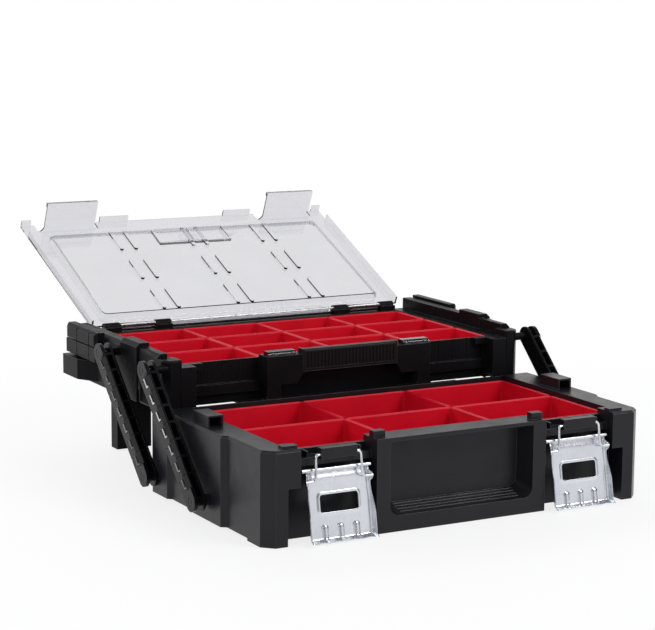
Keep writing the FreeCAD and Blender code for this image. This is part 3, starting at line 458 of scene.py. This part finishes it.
def make_plate(word):
    """One latch plate: its pressed sheet, which replaces the CAD node, and its rolled top edge."""
    rows = plate_rows()
    width = len(rows[0])
    faces = [(r * width + c, r * width + c + 1, (r + 1) * width + c + 1, (r + 1) * width + c)
             for r in range(len(rows) - 1) for c in range(width - 1)]
    plate = new_piece("latch_plate_sheet_" + word, [point for row in rows for point in row], faces, steel)
    thicken = plate.modifiers.new("sheet", "SOLIDIFY")
    thicken.thickness = sheet
    thicken.offset = 0
    cutter = window_cutter()
    cut = plate.modifiers.new("window", "BOOLEAN")
    cut.operation = "DIFFERENCE"
    cut.object = cutter
    cut.solver = "EXACT"
    apply_all(plate)
    bpy.data.objects.remove(cutter)
    shade_smooth(plate, sharp=40)

    line = [(x, *roll_place) for x in (-roll_half, roll_half)]
    wall = rings_along(line, roll_radius) + rings_along(line, roll_bore)[::-1]
    roll = new_piece("latch_plate_roll_" + word, *loft(wall, closed=True), steel)
    shade_smooth(roll, sharp=50)
    for piece in (plate, roll):
        put_on_pivot(piece, word, plate_tilt)
        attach(piece, "latch_plate_" + word)
    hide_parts("latch_plate_" + word)


# Wire legs of the latches, in millimetres from the plate's pivot: corners of the leg on the right
bail_back = (joint_places["bail_swing_left"][1] - joint_places["latch_swing_left"][1]) / mm
bail_rise = (joint_places["bail_swing_left"][2] - joint_places["latch_swing_left"][2]) / mm
wire_radius = 1.6
wire_corners = ((18.0, bail_back, bail_rise), (25.5, bail_back, bail_rise + 0.2), (28.6, 3.4, 27.6),
                (28.9, 2.6, 20.0), (29.2, 1.0, 8.0), (31.0, 0, 0.3), (36.5, 0, 0), (42.5, 0, 0))
wire_steps = 9
closest_points = 0.05


def wire_path(corners):
    """A chain of corners rounded by curves between its midpoints, without doubled points."""
    corners = [Vector(corner) for corner in corners]
    path = [corners[0]]
    for before, corner, after in zip(corners, corners[1:], corners[2:]):
        start = (before + corner) / 2
        end = (corner + after) / 2
        for n in range(wire_steps + 1):
            share = n / wire_steps
            path.append(start * (1 - share) ** 2 + corner * (2 * share * (1 - share)) + end * share ** 2)
    path.append(corners[-1])
    clean = [path[0]]
    for point in path[1:]:
        if (point - clean[-1]).length > closest_points:
            clean.append(point)
    return clean


def make_bail(side, word):
    """The two wire legs that a plate turns on; the one on the right replaces the CAD node."""
    for way in (-1, 1):
        end = "outer" if way == side else "inner"
        corners = [(way * x, y, z) for x, y, z in wire_corners]
        rings = rings_along(wire_path(corners), wire_radius)
        leg = new_piece("latch_wire_%s_%s" % (end, word), *loft(rings), steel)
        shade_smooth(leg, sharp=50)
        put_on_pivot(leg, word, tilt=0)
        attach(leg, "latch_bail_" + word)
        if way > 0:
            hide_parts("latch_bail_" + word)


# Lid: rounded edges, and the curled back edge round its hinge line, open below, in millimetres
lid_rounding = 0.6
lid_merge = 0.02
lid_sharp = math.radians(35)
curl_middle = (-123.2, 123.2)
curl_end = (146.8, 197.0)
curl_spans = {"middle": curl_middle, "left": (-curl_end[1], -curl_end[0]), "right": curl_end}
curl_radius = 6.3
curl_wall = 1.3
curl_reach = 4.0
curl_fall = 5
curl_start = math.radians(-7)
curl_turn = math.radians(209)
curl_steps = 36


def soften_lid():
    """The lid's own shape with its sharp edges rounded, so that light runs along them."""
    mesh = nodes["lid"].data.copy()
    mesh.name = "lid_softened"
    lid = show(mesh, lid_clear)
    lid.modifiers.new("merge", "WELD").merge_threshold = lid_merge * mm
    edges = round_edges(lid, lid_rounding * mm, segments=2)
    edges.limit_method = "ANGLE"
    edges.angle_limit = lid_sharp
    apply_all(lid)
    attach(lid, "lid")
    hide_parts("lid")


def make_curl(word, span):
    """A bent wall round the hinge line, which starts further out, where it meets the lid's edge."""
    _, hinge_y, hinge_z = joint_places["lid_hinge"]
    left, right = (x * mm for x in span)
    rings = []
    for n in range(curl_steps + 1):
        share = n / curl_steps
        angle = curl_start - curl_turn * share
        outer = curl_radius + curl_reach * (1 - share) ** curl_fall
        outside, inside = [(hinge_y + radius * mm * math.cos(angle), hinge_z + radius * mm * math.sin(angle))
                           for radius in (outer, outer - curl_wall)]
        rings.append([(left, *outside), (left, *inside), (right, *inside), (right, *outside)])
    curl = new_piece("lid_curl_" + word, *loft(rings), lid_clear)
    shade_smooth(curl, sharp=40)
    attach(curl, "lid")


# Tray corners: the outer wall that stands beside the front arms, in millimetres
wall_inner = 233.0
wall_outer = 254.8
wall_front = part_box("upper_tray")[0].y / mm
wall_bend = 149.0
wall_back = 203.0
wall_bottom = 101.8
wall_top_front = 165.3
wall_top_back = 170.9
wall_chamfer = 9.0
wall_rounding = 2.4
ridge_inner = 240.4

# The top is level before the bend and rises behind it: the plan's corners round each part
level_part = (0, 1, 2, 3, 6, 7)
rising_part = (3, 4, 5, 6)


def make_corner_wall(side, word):
    """One corner wall, wide in front of the bend and as wide as the ridge behind it."""
    plan = [(wall_inner, wall_front, wall_top_front), (wall_outer - wall_chamfer, wall_front, wall_top_front),
            (wall_outer, wall_front + wall_chamfer, wall_top_front), (wall_outer, wall_bend, wall_top_front),
            (wall_outer, wall_back, wall_top_back), (ridge_inner, wall_back, wall_top_back),
            (ridge_inner, wall_bend, wall_top_front), (wall_inner, wall_bend, wall_top_front)]
    lower = [(side * x * mm, y * mm, wall_bottom * mm) for x, y, top in plan]
    upper = [(side * x * mm, y * mm, top * mm) for x, y, top in plan]
    points, faces = loft([lower, upper])
    faces[1:2] = [tuple(len(plan) + n for n in part) for part in (level_part, rising_part)]
    if side < 0:
        faces = [face[::-1] for face in faces]
    wall = new_piece("tray_corner_wall_" + word, points, faces, tray_black)
    round_edges(wall, wall_rounding * mm, segments=3)
    apply_all(wall)
    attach(wall, "upper_tray")


# Raised strips on the arms' outer faces, with one sloping side each, in millimetres
strip_joints = {"front_arms": "arm_swing", "rear_arms": "rear_arm_swing"}
arm_foot = Vector(joint_places["arm_swing"])
arm_head = Vector(joint_places["tray_levelling"])
arm_along = (arm_head - arm_foot).normalized()
arm_across = Vector((0, arm_along.z, -arm_along.y))
strip_first = 174.7
strip_pitch = 24.1
strip_count = 7
strip_length = 13.7
strip_rise = 1.5

# Each strip covers a flatter one of the CAD arm, and its foot lies a little inside the arm's face
cad_strip_rise = 0.8
strip_sink = 0.075
strip_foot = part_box("front_arm_right")[1].x / mm - cad_strip_rise - strip_sink

# The strip's section, as (height above its foot, place across the arm)
strip_section = ((0, 0.9), (strip_rise, 0.4), (0, -2.5))


def make_strips(body, joint):
    """Wedge-shaped strips, one below each rung, on both arms of a pair."""
    foot = Vector(joint_places[joint])
    points, faces = [], []
    for side in (-1, 1):
        for n in range(strip_count):
            top = strip_first - n * strip_pitch
            rings = []
            for along in (top - strip_length, top):
                rings.append([foot + (arm_across * across + arm_along * along) * mm
                              + Vector((side * (strip_foot + height) * mm, 0, 0))
                              for height, across in strip_section])
            start = len(points)
            strip_points, strip_faces = loft(rings)
            points += strip_points
            for face in strip_faces:
                face = tuple(start + corner for corner in face)
                faces.append(face if side > 0 else face[::-1])
    strips = new_piece(body + "_strips", points, faces, strip_black)
    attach(strips, body)


# Floor, backdrop and light, in metres
floor_half = 30.0
floor_drop = 0.0005
floor_colour = (0.86, 0.86, 0.87, 1)
floor_rough = 0.6
room_colour = (0.95, 0.96, 1.0, 1)
room_strength = 0.5
studio_grey = (0.22, 0.22, 0.24)

# The floor looks white by this share up to the first distance from the middle, and wholly from the second
whiteness_near = 0.8
shadow_fades = (0.35, 1.1)

# The world turns from grey to white where a direction's Y lies between these
backdrop_span = (-0.2, 0.5)
lamps = {
    "key": dict(place=(1.3, -1.7, 2.1), target=(0, 0.1, 0.1), size=(1.6, 1.2), watts=40),
    "fill": dict(place=(-1.9, -1.1, 1.2), target=(0, 0, 0.1), size=(1.2, 1.0), watts=9),
    "back": dict(place=(0.4, 2.2, 1.8), target=(0, 0.2, 0.1), size=(1.8, 0.9), watts=26, mirrored=False),
    "card": dict(place=(1.25, -2.3, 0.52), target=(0.1, -0.1, 0.1), size=(1.3, 1.0), watts=2.8),
    "rim": dict(place=(-1.95, 0.75, 0.85), target=(-0.28, 0.05, 0.1), size=(0.6, 0.6), watts=8),
}


def combine(tree, operation, first, second):
    """The product or the greater of two values, as operation says."""
    node = tree.nodes.new("ShaderNodeMath")
    node.operation = operation
    tree.links.new(first, node.inputs[0])
    tree.links.new(second, node.inputs[1])
    return node.outputs[0]


def seen_directly(tree):
    """1 for rays from the camera, from glossy surfaces and through clear ones."""
    path = tree.nodes.new("ShaderNodeLightPath")
    total = path.outputs["Is Camera Ray"]
    for name in ("Is Glossy Ray", "Is Transmission Ray"):
        total = combine(tree, "MAXIMUM", total, path.outputs[name])
    return total


def mix(tree, share, first, second, surface):
    """Mixes two shaders by share and gives the result to an output."""
    node = tree.nodes.new("ShaderNodeMixShader")
    tree.links.new(share, node.inputs["Fac"])
    tree.links.new(first, node.inputs[1])
    tree.links.new(second, node.inputs[2])
    tree.links.new(node.outputs["Shader"], surface)


def backdrop_material():
    """Pale floor that keeps the object's shadow near it, and reads as white to the camera further out."""
    material, tree, shader, place = new_material("pale_floor")
    shader.inputs["Base Color"].default_value = floor_colour
    shader.inputs["Roughness"].default_value = floor_rough
    glow = tree.nodes.new("ShaderNodeEmission")
    glow.inputs["Color"].default_value = (1, 1, 1, 1)
    glow.inputs["Strength"].default_value = 1.0
    length = tree.nodes.new("ShaderNodeVectorMath")
    length.operation = "LENGTH"
    tree.links.new(place, length.inputs[0])
    whiteness = spread(tree, length.outputs["Value"], *shadow_fades, whiteness_near, 1.0)
    share = combine(tree, "MULTIPLY", seen_directly(tree), whiteness)
    through_clear = tree.nodes.new("ShaderNodeLightPath").outputs["Is Transmission Ray"]
    share = combine(tree, "MAXIMUM", share, through_clear)
    mix(tree, share, shader.outputs["BSDF"], glow.outputs["Emission"],
        tree.nodes["Material Output"].inputs["Surface"])
    return material


def make_stage():
    """The floor, just below the object's feet."""
    corners = [(-floor_half, -floor_half, 0), (floor_half, -floor_half, 0),
               (floor_half, floor_half, 0), (-floor_half, floor_half, 0)]
    floor = new_piece("floor", corners, [(0, 1, 2, 3)], backdrop_material())
    floor.location.z = -floor_drop


def area_light(name, place, target, size, watts, mirrored=True):
    """A rectangular lamp aimed at target; clear pieces don't show it, and glossy ones do if mirrored."""
    data = bpy.data.lights.new(name, "AREA")
    data.shape = "RECTANGLE"
    data.size, data.size_y = size
    data.energy = watts
    light = bpy.data.objects.new(name, data)
    light.location = place
    light.rotation_euler = (Vector(target) - Vector(place)).to_track_quat("-Z", "Y").to_euler()
    light.visible_glossy = mirrored
    light.visible_transmission = False
    bpy.context.scene.collection.objects.link(light)


def make_world():
    """White backdrop behind the object, and a dimmer studio on the side the picture is taken from."""
    world = bpy.data.worlds.new("studio")
    bpy.context.scene.world = world
    world.use_nodes = True
    tree = world.node_tree
    room = tree.nodes["Background"]
    room.inputs["Color"].default_value = room_colour
    room.inputs["Strength"].default_value = room_strength
    seen = tree.nodes.new("ShaderNodeBackground")
    seen.inputs["Strength"].default_value = 1.0
    way = tree.nodes.new("ShaderNodeSeparateXYZ")
    tree.links.new(tree.nodes.new("ShaderNodeTexCoord").outputs["Generated"], way.inputs["Vector"])
    behind = spread(tree, way.outputs["Y"], *backdrop_span, 0.0, 1.0)
    tree.links.new(ramp(tree, behind, studio_grey, (1, 1, 1), span=(0, 1)), seen.inputs["Color"])
    mix(tree, seen_directly(tree), room.outputs["Background"], seen.outputs["Background"],
        tree.nodes["World Output"].inputs["Surface"])


# The scene
make_camera()
for side, word in sides:
    make_plate(word)
    make_bail(side, word)
soften_lid()
for word, span in curl_spans.items():
    make_curl(word, span)
for side, word in sides:
    make_corner_wall(side, word)
for body, joint in strip_joints.items():
    make_strips(body, joint)
make_stage()
make_world()
for name, facts in lamps.items():
    area_light(name, **facts)

scene = bpy.context.scene
scene.view_settings.view_transform = "Standard"
